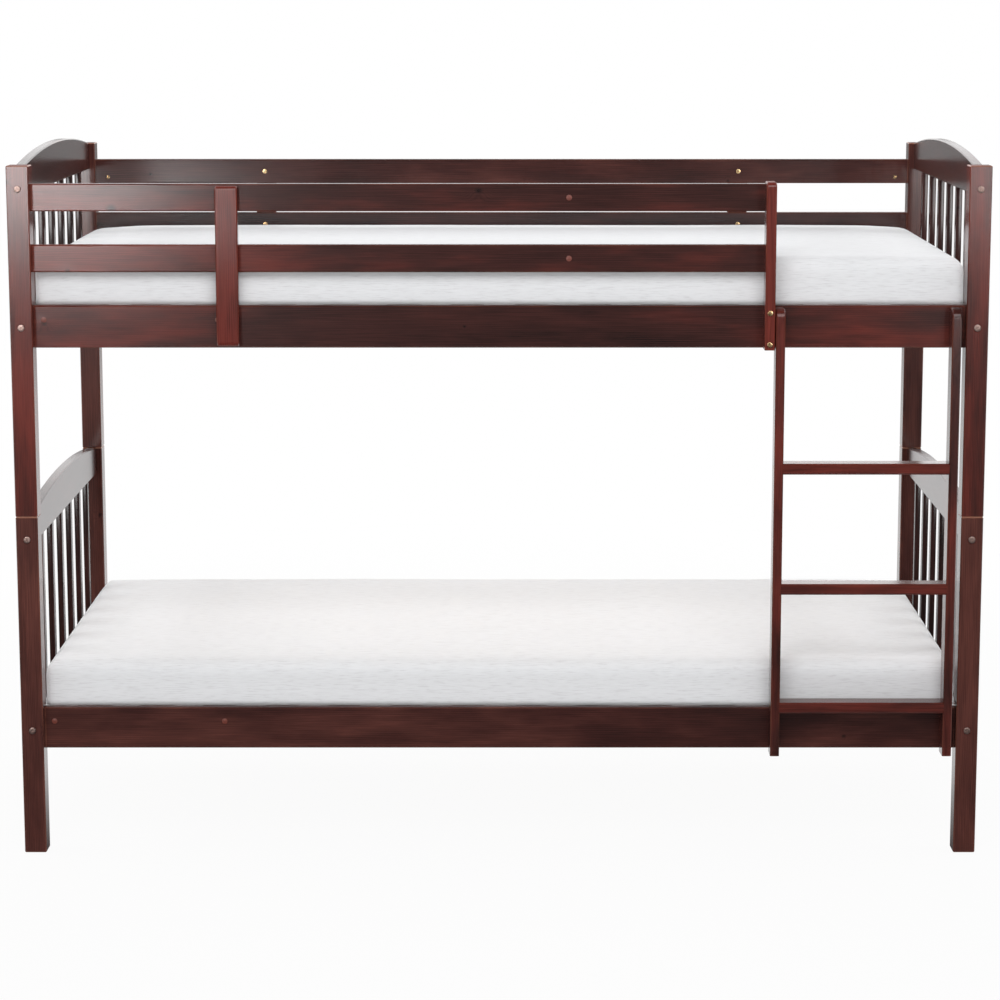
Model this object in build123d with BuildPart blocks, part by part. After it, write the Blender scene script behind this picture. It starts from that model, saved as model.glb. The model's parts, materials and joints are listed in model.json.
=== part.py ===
import os
from collections import namedtuple

from build123d import *

os.makedirs("parts", exist_ok=True)

# Driving dimensions, in millimetres

# Mattress
mattress_length = 2000
mattress_width = 900
mattress_side = 97  # height of the sides
mattress_crown = 5  # rise of the middle above the sides
mattress_crown_run = 150  # distance from the edge over which it rises
mattress_corner = 28  # corner radius seen from above
mattress_roll = 14  # rounding of the top and bottom edges
mattress_draw = 4  # how far each side pulls in between the corners
mattress_seat = 0.3  # gap under the mattress
end_play = 5  # mattress to post, at each end
side_play = 3  # mattress to rail, at each side

# Timber sections
post_size = 48
board_thick = 22  # rails, arches, guard boards and uprights
rail_height = 92
guard_height = 59
upright_width = 48
edge_ease = 2.5  # chamfer along the edges of boards
post_ease = 2

# Heights
lower_post_height = 756
upper_post_height = 762
lower_rail_rise = 232  # foot of the lower posts to the underside of the rails
upper_rail_rise = 368  # foot of the upper posts to the underside of the rails

# End panels
arch_end_height = 64
arch_rise = 29  # crown of the arch above the post tops
spindle_count = 6
spindle_thick = 13
spindle_width = 24
mortise_depth = 14
tenon_length = 6
tenon_thick = 12
tenon_shoulder = 6

# Slatted base
slat_count = 14
slat_width = 70
slat_thick = 16
slat_end_play = 3
cleat_height = 30
cleat_width = 25
cleat_end_play = 10
tape_width = 25
tape_thick = 1
tape_spacing = 500

# Guards
guard_gap = 72  # rail to board, and board to board
upright_x = 585
upright_foot_rise = 5  # underside of the rail to the foot of an upright
upright_head_drop = 4  # top of the upper board to the head of an upright
upright_nose = 10  # rounding of the outer edge at head and foot
end_upright_stand = 6  # rise of the end upright above the upper board
end_upright_nose = 12

# Ladder
ladder_width = 398  # over both sides
ladder_side_thick = 20
ladder_depth = 48
ladder_post_gap = 13  # right-hand side to the post
ladder_upright_gap = 2
ladder_foot_drop = 6  # below the lower rail
ladder_head_drop = 3  # below the top of the upper rail
ladder_nose = 22
step_count = 3
step_first_top = 346
step_rise = 265.5
step_thick = 24
step_depth = 46
step_ease = 4
step_housing = 5  # how far a step's end is let into the ladder side

# Fasteners, drawn as prisms so that the many of them stay light
head_sides = 10
shank_sides = 6
round_sides = 8  # dowels, pins and barrel nuts
bolt_dia = 6
bolt_head_dia = 15
bolt_head_height = 2.5
bolt_hex = 5  # across flats
bolt_hex_depth = 2
bolt_grip = 45  # thread in the end of an arch or end rail
bolt_tip = 3  # past the middle of the barrel nut
arch_bolt_rise = 14  # above the lower edge of the arch
rail_bolt_drop = 31  # below the top of the side rail
guard_bolt_rise = 15  # above the lower edge of the guard board
nut_dia = 10
nut_length = 14
rail_nut_setback = 21
guard_nut_setback = 32
trim_head_dia = 12
trim_head_height = 2
trim_hex = 4
trim_hex_depth = 1.5
trim_grip = 18  # thread in the piece that a trim bolt holds
trim_rail_rise = 23  # upright bolt above the underside of the rail
end_bolt_inset = 12  # end upright bolts, from the edges of the rail
dowel_dia = 8
dowel_length = 30
dowel_drop = 30  # below the rail bolt
pin_dia = 10
pin_reach = 35  # into each post
plug_dia = 12.5
plug_depth = 4
cleat_plug_x = 608
guard_plug_x = 150
screw_dia = 4
screw_head_dia = 8
screw_head_height = 3
screw_grip = 18

# Clearances
hole_play = 0.25  # round bolts, nuts and screws
joint_play = 0.1  # round tenons, spindles, dowels and plugs
pin_play = 0.3  # round the stacking pins in the upper posts
depth_play = 0.5  # at the bottom of a blind hole

# Places worked out from the dimensions

left, right = -1, 1
front, back = -1, 1
end_names = {left: "left", right: "right"}
side_names = {front: "front", back: "back"}
on_base = (Align.CENTER, Align.CENTER, Align.MIN)
from_top = (Align.CENTER, Align.CENTER, Align.MAX)

berth_length = mattress_length + 2 * end_play
berth_width = mattress_width + 2 * side_play
end_x = berth_length / 2  # inner faces of the posts
post_x = end_x + post_size / 2
outer_x = end_x + post_size
face_y = berth_width / 2  # inner faces of the posts and rails
rail_y = face_y + board_thick / 2
rail_outer_y = face_y + board_thick
post_y = face_y + post_size / 2
outer_y = face_y + post_size
ladder_proud = rail_outer_y + ladder_depth - outer_y
bed_y = (ladder_proud + trim_head_height - bolt_head_height) / 2  # centres the whole depth on the origin

Bunk = namedtuple("Bunk", "name foot top rail_foot rail_top arch_foot")


def make_bunk(name, foot, post_height, rail_rise):
    top = foot + post_height
    rail_foot = foot + rail_rise
    return Bunk(name, foot, top, rail_foot, rail_foot + rail_height, top - arch_end_height)


lower = make_bunk("lower", 0, lower_post_height, lower_rail_rise)
upper = make_bunk("upper", lower.top, upper_post_height, upper_rail_rise)
bunks = (lower, upper)

guard_feet = {
    "lower": upper.rail_top + guard_gap,
    "upper": upper.rail_top + 2 * guard_gap + guard_height,
}
guard_top = guard_feet["upper"] + guard_height
ladder_right_x = end_x - ladder_post_gap
ladder_left_x = ladder_right_x - ladder_width
ladder_mid_x = (ladder_left_x + ladder_right_x) / 2
ladder_y = -(rail_outer_y + ladder_depth / 2)
ladder_foot = lower.rail_foot - ladder_foot_drop
ladder_head = upper.rail_top - ladder_head_drop
step_tops = [step_first_top + step_rise * number for number in range(step_count)]
end_upright_right_x = ladder_left_x - ladder_upright_gap
end_upright_x = end_upright_right_x - board_thick / 2
front_guard_length = end_upright_right_x + end_x

spindle_gap = (berth_width - spindle_count * spindle_width) / (spindle_count + 1)
spindle_pitch = spindle_width + spindle_gap
slat_gap = (berth_length - slat_count * slat_width) / (slat_count + 1)
slat_pitch = slat_width + slat_gap
under_cleat = rail_height - slat_thick - cleat_height  # bare height of a rail's inner face

end_bolt_length = post_size + bolt_grip
rail_bolt_length = post_size + rail_nut_setback + bolt_tip
guard_bolt_length = post_size + guard_nut_setback + bolt_tip
trim_bolt_length = board_thick + trim_grip
long_trim_length = ladder_depth + trim_grip
screw_length = board_thick - plug_depth - screw_head_height + screw_grip


def facing_x(x, y, z, way):
    return Plane(origin=(x, bed_y + y, z), x_dir=(0, 1, 0), z_dir=(way, 0, 0))


def facing_y(x, y, z, way):
    return Plane(origin=(x, bed_y + y, z), x_dir=(1, 0, 0), z_dir=(0, way, 0))


# Seats: a bolt, nut, plug or screw goes in along the seat's -Z, from the face that its head lies on

def end_rail_seat(bunk, end, side):
    return facing_y(end * post_x, side * outer_y, bunk.rail_foot + rail_height / 2, side)


def arch_seat(bunk, end, side):
    return facing_y(end * post_x, side * outer_y, bunk.arch_foot + arch_bolt_rise, side)


def rail_seat(bunk, end, side):
    return facing_x(end * outer_x, side * rail_y, bunk.rail_top - rail_bolt_drop, end)


def guard_seats(end, side, levels=("lower", "upper")):
    if (end, side) == (right, front):
        return []
    heights = [guard_feet[level] + guard_bolt_rise for level in levels]
    return [facing_x(end * outer_x, side * rail_y, z, end) for z in heights]


def guard_nut_seats(end, side, levels=("lower", "upper")):
    if (end, side) == (right, front):
        return []
    x = end * (end_x - guard_nut_setback)
    heights = [guard_feet[level] + guard_bolt_rise for level in levels]
    return [facing_y(x, side * face_y, z, -side) for z in heights]


def rail_nut_seat(bunk, end, side):
    x = end * (end_x - rail_nut_setback)
    return facing_y(x, side * rail_outer_y, bunk.rail_top - rail_bolt_drop, side)


def cleat_seats(bunk, side):
    z = bunk.rail_top - slat_thick - cleat_height / 2
    return [facing_y(end * cleat_plug_x, side * rail_outer_y, z, side) for end in (left, right)]


def dowel_seat(bunk, end, side):
    return facing_x(end * end_x, side * rail_y, bunk.rail_top - rail_bolt_drop - dowel_drop, end)


def guard_mid(level):
    return guard_feet[level] + guard_height / 2


upright_places = {
    "front_guard_upright": (-upright_x, front),
    "back_guard_left_upright": (-upright_x, back),
    "back_guard_right_upright": (upright_x, back),
}


def board_seat(x, side, level):
    return facing_y(x, side * face_y, guard_mid(level), -side)


def upright_rail_seat(x, side):
    return facing_y(x, side * face_y, upper.rail_foot + trim_rail_rise, -side)


end_upright_seats = [
    facing_y(end_upright_x, -(rail_outer_y + ladder_depth), z, front)
    for z in (upper.rail_foot + end_bolt_inset, upper.rail_top - end_bolt_inset)
]
ladder_side_x = {
    left: ladder_left_x + ladder_side_thick / 2,
    right: ladder_right_x - ladder_side_thick / 2,
}


def ladder_seats(end):
    heights = [upper.rail_foot + under_cleat * share for share in (1 / 4, 3 / 4)]
    return [facing_y(ladder_side_x[end], -face_y, z, back) for z in heights]


def step_seat(end, top):
    face_x = ladder_side_x[end] + end * (ladder_side_thick / 2 - trim_head_height)
    return facing_x(face_x, ladder_y, top - step_thick / 2, end)


def guard_plug_seat(level):
    return facing_y(guard_plug_x, -rail_outer_y, guard_mid(level), front)


# Fastener patterns, each standing on its seat

def make_prism(dia, length, sides):
    with BuildPart() as prism:
        with BuildSketch():
            RegularPolygon(dia / 2, sides)
        extrude(amount=-length)
    return prism.part


def make_bolt(length, head_dia, head_height, hex_flats, hex_depth):
    with BuildPart() as bolt:
        with BuildSketch():
            RegularPolygon(head_dia / 2, head_sides)
        extrude(amount=head_height)
        with BuildSketch(Plane.XY.offset(head_height)):
            RegularPolygon(hex_flats / 2, 6, major_radius=False)
        extrude(amount=-hex_depth, mode=Mode.SUBTRACT)
        add(make_prism(bolt_dia, length, shank_sides))
    return bolt.part


def make_frame_bolt(length):
    return make_bolt(length, bolt_head_dia, bolt_head_height, bolt_hex, bolt_hex_depth)


def make_trim_bolt(length):
    return make_bolt(length, trim_head_dia, trim_head_height, trim_hex, trim_hex_depth)


def bore(dia, depth, sides):
    add(make_prism(dia, depth, sides), mode=Mode.SUBTRACT)


def bolt_bore(length):
    bore(bolt_dia + 2 * hole_play, length + depth_play, shank_sides)


def plug_bore(depth):
    bore(plug_dia + 2 * joint_play, depth, head_sides)


def nut_bore():
    bore(nut_dia + 2 * hole_play, plug_depth + nut_length + depth_play, round_sides)


def dowel_bore():
    with Locations((0, 0, dowel_length / 2 + depth_play)):
        bore(dowel_dia + 2 * joint_play, dowel_length + 2 * depth_play, round_sides)


end_bolt = make_frame_bolt(end_bolt_length)
rail_bolt = make_frame_bolt(rail_bolt_length)
guard_bolt = make_frame_bolt(guard_bolt_length)
trim_bolt = make_trim_bolt(trim_bolt_length)
long_trim_bolt = make_trim_bolt(long_trim_length)
cover_plug = make_prism(plug_dia, plug_depth, head_sides)

with BuildPart() as barrel_nut:
    with Locations((0, 0, -plug_depth)):
        add(make_prism(nut_dia, nut_length, round_sides))
    bolt_axis = Plane(origin=(nut_dia / 2, 0, -board_thick / 2), x_dir=(0, 0, 1), z_dir=(1, 0, 0))
    with Locations(bolt_axis):
        bolt_bore(nut_dia)

with BuildPart() as cleat_screw:
    with Locations((0, 0, -plug_depth)):
        add(make_prism(screw_head_dia, screw_head_height, shank_sides))
    with Locations((0, 0, -plug_depth - screw_head_height)):
        add(make_prism(screw_dia, screw_length, shank_sides))


def keep(piece, name):
    piece.part.label = name
    export_step(piece.part, f"parts/{name}.step")


# Posts: eased all round, bored for the bolts, mortised for the end boards, and pinned where the bunks stack

def tenon_spans(bunk):
    return [
        (bunk.rail_foot + tenon_shoulder, bunk.rail_top - tenon_shoulder),
        (bunk.arch_foot + tenon_shoulder, bunk.top - tenon_shoulder),
    ]


for bunk in bunks:
    for end in (left, right):
        for side in (front, back):
            with BuildPart() as post:
                with Locations((end * post_x, bed_y + side * post_y, bunk.foot)):
                    Box(post_size, post_size, bunk.top - bunk.foot, align=on_base)
                chamfer(post.edges(), post_ease)
                with Locations(*[seat(bunk, end, side) for seat in (end_rail_seat, arch_seat, rail_seat)]):
                    bolt_bore(post_size)
                with Locations(dowel_seat(bunk, end, side)):
                    dowel_bore()
                for foot, top in tenon_spans(bunk):
                    with Locations((end * post_x, bed_y + side * face_y, (foot + top) / 2)):
                        Box(
                            tenon_thick + 2 * joint_play,
                            2 * (tenon_length + depth_play),
                            top - foot + 2 * joint_play,
                            mode=Mode.SUBTRACT,
                        )
                pin_depth = pin_reach + depth_play
                if bunk is lower:
                    with Locations((end * post_x, bed_y + side * post_y, bunk.top)):
                        bore(pin_dia + 2 * joint_play, pin_depth, round_sides)
                else:
                    with Locations((end * post_x, bed_y + side * post_y, bunk.foot + pin_depth)):
                        bore(pin_dia + 2 * pin_play, pin_depth, round_sides)
                    for seat in guard_seats(end, side):
                        with Locations(seat):
                            bolt_bore(post_size)
            keep(post, f"{bunk.name}_{side_names[side]}_{end_names[end]}_post")

# End panels: an arch and an end rail on stub tenons, with spindles mortised between them

for bunk in bunks:
    for end in (left, right):
        (rail_tenon_foot, rail_tenon_top), (arch_tenon_foot, arch_tenon_top) = tenon_spans(bunk)
        over_tenons = berth_width + 2 * tenon_length

        with BuildPart() as arch:
            with BuildSketch(Plane.YZ.offset(end * post_x)):
                with BuildLine():
                    Polyline(
                        (bed_y - face_y, bunk.top),
                        (bed_y - face_y, bunk.arch_foot),
                        (bed_y + face_y, bunk.arch_foot),
                        (bed_y + face_y, bunk.top),
                    )
                    ThreePointArc(
                        (bed_y + face_y, bunk.top),
                        (bed_y, bunk.top + arch_rise),
                        (bed_y - face_y, bunk.top),
                    )
                make_face()
            extrude(amount=board_thick / 2, both=True)
            chamfer(arch.edges().filter_by(GeomType.CIRCLE), edge_ease)
            chamfer(arch.edges().filter_by(Axis.Y).group_by(Axis.Z)[0], edge_ease)
            with Locations((end * post_x, bed_y, arch_tenon_foot)):
                Box(tenon_thick, over_tenons, arch_tenon_top - arch_tenon_foot, align=on_base)
            with Locations(arch_seat(bunk, end, front), arch_seat(bunk, end, back)):
                bolt_bore(end_bolt_length)
            with Locations((end * post_x, bed_y, bunk.arch_foot)):
                with GridLocations(0, spindle_pitch, 1, spindle_count):
                    Box(
                        spindle_thick + 2 * joint_play,
                        spindle_width + 2 * joint_play,
                        mortise_depth,
                        align=on_base,
                        mode=Mode.SUBTRACT,
                    )
        keep(arch, f"{bunk.name}_{end_names[end]}_arch")

        with BuildPart() as end_rail:
            with Locations((end * post_x, bed_y, bunk.rail_foot)):
                Box(board_thick, berth_width, rail_height, align=on_base)
            chamfer(end_rail.edges().filter_by(Axis.Y), edge_ease)
            with Locations((end * post_x, bed_y, rail_tenon_foot)):
                Box(tenon_thick, over_tenons, rail_tenon_top - rail_tenon_foot, align=on_base)
            with Locations(end_rail_seat(bunk, end, front), end_rail_seat(bunk, end, back)):
                bolt_bore(end_bolt_length)
            with Locations((end * post_x, bed_y, bunk.rail_top)):
                with GridLocations(0, spindle_pitch, 1, spindle_count):
                    Box(
                        spindle_thick + 2 * joint_play,
                        spindle_width + 2 * joint_play,
                        mortise_depth,
                        align=from_top,
                        mode=Mode.SUBTRACT,
                    )
        keep(end_rail, f"{bunk.name}_{end_names[end]}_end_rail")

        spindle_foot = bunk.rail_top - mortise_depth + depth_play
        spindle_head = bunk.arch_foot + mortise_depth - depth_play
        with BuildPart() as spindles:
            with Locations((end * post_x, bed_y, spindle_foot)):
                with GridLocations(0, spindle_pitch, 1, spindle_count):
                    Box(spindle_thick, spindle_width, spindle_head - spindle_foot, align=on_base)
        keep(spindles, f"{bunk.name}_{end_names[end]}_spindles")

# Side rails, with the cleats that carry the slats

for bunk in bunks:
    for side in (front, back):
        with BuildPart() as rail:
            with Locations((0, bed_y + side * rail_y, bunk.rail_foot)):
                Box(berth_length, board_thick, rail_height, align=on_base)
            chamfer(rail.edges().filter_by(Axis.X), edge_ease)
            for end in (left, right):
                with Locations(rail_seat(bunk, end, side)):
                    bolt_bore(rail_bolt_length)
                with Locations(rail_nut_seat(bunk, end, side)):
                    nut_bore()
                    plug_bore(plug_depth)
                with Locations(dowel_seat(bunk, end, side)):
                    dowel_bore()
            with Locations(*cleat_seats(bunk, side)):
                bore(screw_dia + 2 * hole_play, board_thick, shank_sides)
                plug_bore(plug_depth + screw_head_height)
            if bunk is upper:
                for x, upright_side in upright_places.values():
                    if upright_side == side:
                        with Locations(upright_rail_seat(x, side)):
                            bolt_bore(board_thick)
                if side == front:
                    with Locations(*ladder_seats(left), *ladder_seats(right)):
                        bolt_bore(board_thick)
                    with Locations(*end_upright_seats):
                        bolt_bore(long_trim_length)
        keep(rail, f"{bunk.name}_{side_names[side]}_rail")

        with BuildPart() as cleat:
            cleat_y = bed_y + side * (face_y - cleat_width / 2)
            with Locations((0, cleat_y, bunk.rail_top - slat_thick)):
                Box(berth_length - 2 * cleat_end_play, cleat_width, cleat_height, align=from_top)
            with Locations(*cleat_seats(bunk, side)):
                bore(screw_dia + 2 * hole_play, board_thick + screw_grip + depth_play, shank_sides)
        keep(cleat, f"{bunk.name}_{side_names[side]}_cleat")

# Slatted bases: slats on the cleats, spaced by two webbing tapes

for bunk in bunks:
    with BuildPart() as slats:
        with Locations((0, bed_y, bunk.rail_top)):
            with GridLocations(slat_pitch, 0, slat_count, 1):
                Box(slat_width, berth_width - 2 * slat_end_play, slat_thick, align=from_top)
    keep(slats, f"{bunk.name}_slats")

    with BuildPart() as tapes:
        with Locations((0, bed_y, bunk.rail_top)):
            with GridLocations(0, tape_spacing, 1, 2):
                Box(slat_pitch * (slat_count - 1) + slat_width, tape_width, tape_thick, align=on_base)
    keep(tapes, f"{bunk.name}_slat_tapes")

# Guard boards: the front pair stops at the ladder's end upright, the back pair runs from post to post

for side, length in ((front, front_guard_length), (back, berth_length)):
    for level, foot in guard_feet.items():
        with BuildPart() as board:
            with Locations((length / 2 - end_x, bed_y + side * rail_y, foot)):
                Box(length, board_thick, guard_height, align=on_base)
            chamfer(board.edges().filter_by(Axis.X), edge_ease)
            for end in (left, right):
                for seat in guard_seats(end, side, [level]):
                    with Locations(seat):
                        bolt_bore(guard_bolt_length)
                for seat in guard_nut_seats(end, side, [level]):
                    with Locations(seat):
                        nut_bore()
            for x, upright_side in upright_places.values():
                if upright_side == side:
                    with Locations(board_seat(x, side, level)):
                        bolt_bore(board_thick)
            if side == front:
                with Locations(board_seat(end_upright_x, front, level)):
                    bolt_bore(board_thick)
                with Locations(guard_plug_seat(level)):
                    plug_bore(plug_depth)
        keep(board, f"{side_names[side]}_guard_{level}_board")

# Guard uprights: flat ones on the outer faces of the boards, and a deep one beside the ladder

for name, (x, side) in upright_places.items():
    upright_foot = upper.rail_foot + upright_foot_rise
    with BuildPart() as upright:
        with Locations((x, bed_y + side * (rail_outer_y + board_thick / 2), upright_foot)):
            Box(upright_width, board_thick, guard_top - upright_head_drop - upright_foot, align=on_base)
        outer_face = upright.faces().sort_by(Axis.Y)[0 if side == front else -1]
        fillet(outer_face.edges().filter_by(Axis.X), upright_nose)
        chamfer(upright.edges().filter_by(Axis.Z), edge_ease)
        with Locations(upright_rail_seat(x, side), *[board_seat(x, side, level) for level in guard_feet]):
            bolt_bore(trim_bolt_length)
    keep(upright, name)

with BuildPart() as end_upright:
    with Locations((end_upright_x, bed_y + ladder_y, upper.rail_foot)):
        Box(board_thick, ladder_depth, guard_top + end_upright_stand - upper.rail_foot, align=on_base)
    nose_edge = end_upright.faces().sort_by(Axis.Y)[0].edges().filter_by(Axis.X).sort_by(Axis.Z)[-1]
    fillet(nose_edge, end_upright_nose)
    chamfer(end_upright.edges().filter_by(Axis.Z), edge_ease)
    with Locations(*[board_seat(end_upright_x, front, level) for level in guard_feet]):
        bolt_bore(trim_bolt_length)
    with Locations(*end_upright_seats):
        bolt_bore(long_trim_length)
keep(end_upright, "ladder_end_upright")

# Ladder: sides bolted to the upper rail, steps housed in the sides

for end in (left, right):
    with BuildPart() as ladder_side:
        with Locations((ladder_side_x[end], bed_y + ladder_y, ladder_foot)):
            Box(ladder_side_thick, ladder_depth, ladder_head - ladder_foot, align=on_base)
        nose_edge = ladder_side.faces().sort_by(Axis.Y)[0].edges().filter_by(Axis.X).sort_by(Axis.Z)[-1]
        fillet(nose_edge, ladder_nose)
        chamfer(ladder_side.edges().filter_by(Axis.Z), edge_ease)
        for top in step_tops:
            with Locations((ladder_side_x[end] - end * ladder_side_thick / 2, bed_y + ladder_y, top)):
                Box(
                    2 * step_housing,
                    step_depth + 2 * joint_play,
                    step_thick + 2 * joint_play,
                    align=from_top,
                    mode=Mode.SUBTRACT,
                )
            with Locations(step_seat(end, top)):
                bolt_bore(ladder_side_thick)
                with Locations((0, 0, trim_head_height)):
                    bore(trim_head_dia + 2 * hole_play, trim_head_height, head_sides)
        with Locations(*ladder_seats(end)):
            bolt_bore(trim_bolt_length)
    keep(ladder_side, f"ladder_{end_names[end]}_side")

for number, top in enumerate(step_tops, start=1):
    with BuildPart() as step:
        with Locations((ladder_mid_x, bed_y + ladder_y, top - joint_play)):
            Box(
                ladder_width - 2 * (ladder_side_thick - step_housing) - 2 * joint_play,
                step_depth,
                step_thick,
                align=from_top,
            )
        chamfer(step.edges().filter_by(Axis.X), step_ease)
        with Locations(step_seat(left, top), step_seat(right, top)):
            bolt_bore(trim_bolt_length)
    keep(step, f"ladder_step_{number}")

# Fasteners of each bunk

for bunk in bunks:
    corners = [(end, side) for end in (left, right) for side in (front, back)]

    with BuildPart() as frame_bolts:
        with Locations(*[seat(bunk, *corner) for corner in corners for seat in (end_rail_seat, arch_seat)]):
            add(end_bolt)
        with Locations(*[rail_seat(bunk, *corner) for corner in corners]):
            add(rail_bolt)
        if bunk is upper:
            with Locations(*[seat for corner in corners for seat in guard_seats(*corner)]):
                add(guard_bolt)
    keep(frame_bolts, f"{bunk.name}_frame_bolts")

    with BuildPart() as barrel_nuts:
        with Locations(*[rail_nut_seat(bunk, *corner) for corner in corners]):
            add(barrel_nut.part)
        if bunk is upper:
            with Locations(*[seat for corner in corners for seat in guard_nut_seats(*corner)]):
                add(barrel_nut.part)
    keep(barrel_nuts, f"{bunk.name}_barrel_nuts")

    with BuildPart() as dowels:
        with Locations(*[dowel_seat(bunk, *corner) for corner in corners]):
            with Locations((0, 0, dowel_length / 2)):
                add(make_prism(dowel_dia, dowel_length, round_sides))
    keep(dowels, f"{bunk.name}_rail_dowels")

    screw_seats = cleat_seats(bunk, front) + cleat_seats(bunk, back)
    with BuildPart() as cover_plugs:
        with Locations(*[rail_nut_seat(bunk, *corner) for corner in corners], *screw_seats):
            add(cover_plug)
        if bunk is upper:
            with Locations(*[guard_plug_seat(level) for level in guard_feet]):
                add(cover_plug)
    keep(cover_plugs, f"{bunk.name}_cover_plugs")

    with BuildPart() as cleat_screws:
        with Locations(*screw_seats):
            add(cleat_screw.part)
    keep(cleat_screws, f"{bunk.name}_cleat_screws")

with BuildPart() as stacking_pins:
    with Locations((0, bed_y, lower.top + pin_reach)):
        with GridLocations(2 * post_x, 2 * post_y, 2, 2):
            add(make_prism(pin_dia, 2 * pin_reach, round_sides))
keep(stacking_pins, "stacking_pins")

with BuildPart() as guard_bolts:
    for x, side in upright_places.values():
        with Locations(upright_rail_seat(x, side), *[board_seat(x, side, level) for level in guard_feet]):
            add(trim_bolt)
    with Locations(*[board_seat(end_upright_x, front, level) for level in guard_feet]):
        add(trim_bolt)
    with Locations(*end_upright_seats):
        add(long_trim_bolt)
keep(guard_bolts, "guard_bolts")

with BuildPart() as ladder_bolts:
    for end in (left, right):
        with Locations(*ladder_seats(end), *[step_seat(end, top) for top in step_tops]):
            add(trim_bolt)
keep(ladder_bolts, "ladder_bolts")

# Mattresses: crowned, with rolled edges and sides that pull in between the corners

roll_inset = mattress_roll * 0.3  # a third of the way round the rolled edge
mattress_sections = (
    (0, mattress_roll),
    (mattress_roll, 0),
    (mattress_side - mattress_roll, 0),
    (mattress_side - roll_inset, roll_inset),
    (mattress_side, mattress_roll),
    (mattress_side + mattress_crown, mattress_crown_run),
)

for bunk in bunks:
    mattress_foot = bunk.rail_top + tape_thick + mattress_seat
    with BuildPart() as mattress:
        for rise, inset in mattress_sections:
            half_x = mattress_length / 2 - inset
            half_y = mattress_width / 2 - inset
            corners = [(-half_x, -half_y), (half_x, -half_y), (half_x, half_y), (-half_x, half_y)]
            middles = [(0, -half_y), (half_x, 0), (0, half_y), (-half_x, 0)]
            with BuildSketch(Plane((0, bed_y, mattress_foot + rise))) as section:
                with BuildLine():
                    for start, middle, stop in zip(corners, middles, corners[1:] + corners[:1]):
                        drawn = Vector(*middle) - Vector(*middle).normalized() * mattress_draw
                        ThreePointArc(start, drawn, stop)
                make_face()
                fillet(section.vertices(), mattress_corner)
        loft(ruled=True)
    keep(mattress, f"{bunk.name}_mattress")
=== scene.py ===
import json
import math
import random

import bmesh
import bpy
from mathutils import Matrix, Vector, noise


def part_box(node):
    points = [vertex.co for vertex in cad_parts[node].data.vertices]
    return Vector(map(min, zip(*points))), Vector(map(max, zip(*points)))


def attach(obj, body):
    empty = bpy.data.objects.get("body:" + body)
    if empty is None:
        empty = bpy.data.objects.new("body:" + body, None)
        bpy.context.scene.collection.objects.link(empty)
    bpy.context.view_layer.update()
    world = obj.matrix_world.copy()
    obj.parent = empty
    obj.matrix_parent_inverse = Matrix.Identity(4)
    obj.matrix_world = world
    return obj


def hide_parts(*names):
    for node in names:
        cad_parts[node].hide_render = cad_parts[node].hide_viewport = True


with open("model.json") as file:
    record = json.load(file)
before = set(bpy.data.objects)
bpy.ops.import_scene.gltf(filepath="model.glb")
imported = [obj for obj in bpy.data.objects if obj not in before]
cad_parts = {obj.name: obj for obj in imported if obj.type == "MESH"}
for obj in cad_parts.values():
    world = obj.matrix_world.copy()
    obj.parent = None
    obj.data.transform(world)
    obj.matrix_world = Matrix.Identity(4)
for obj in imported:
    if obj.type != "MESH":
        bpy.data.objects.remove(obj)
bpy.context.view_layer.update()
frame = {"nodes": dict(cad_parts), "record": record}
nodes = frame["nodes"]
bodyOf = {node: body for body, members in frame["record"]["behaviour"]["bodies"].items() for node in members}
slotOf = {part["node"]: part["material_slot"] for part in frame["record"]["subparts"]}

mm = 0.001
near = 0.01 * mm            # points closer than this are one point
noiseSpan = (0.3, 0.7)      # nearly all of a noise texture's values lie in this span


# Helpers for nodes and materials

def linear(hexColour):
    channels = [int(hexColour[i:i + 2], 16) / 255 for i in (1, 3, 5)]
    return [c / 12.92 if c <= 0.04045 else ((c + 0.055) / 1.055) ** 2.4 for c in channels] + [1.0]


def perMm(size):
    return 1000 / size  # texture scale that repeats about once in so many millimetres


def addNode(tree, kind, inputs=None, stops=None, **settings):
    node = tree.nodes.new(kind)
    for name, value in settings.items():
        setattr(node, name, value)
    for key, value in (inputs or {}).items():
        if isinstance(value, bpy.types.NodeSocket):
            tree.links.new(value, node.inputs[key])
        else:
            node.inputs[key].default_value = value
    if stops:
        ramp = node.color_ramp
        while len(ramp.elements) < len(stops):
            ramp.elements.new(0.5)
        for element, (place, colour) in zip(ramp.elements, stops):
            element.position = place
            element.color = colour
    return node


def newMaterial(name):
    material = bpy.data.materials.new(name)
    material.use_nodes = True
    tree = material.node_tree
    tree.nodes.clear()
    shader = addNode(tree, "ShaderNodeBsdfPrincipled")
    addNode(tree, "ShaderNodeOutputMaterial", {"Surface": shader.outputs[0]})
    return material, tree, shader


# Pine boards: sawn from a log, so one solid pattern gives straight grain on the faces and rings on the ends

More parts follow.
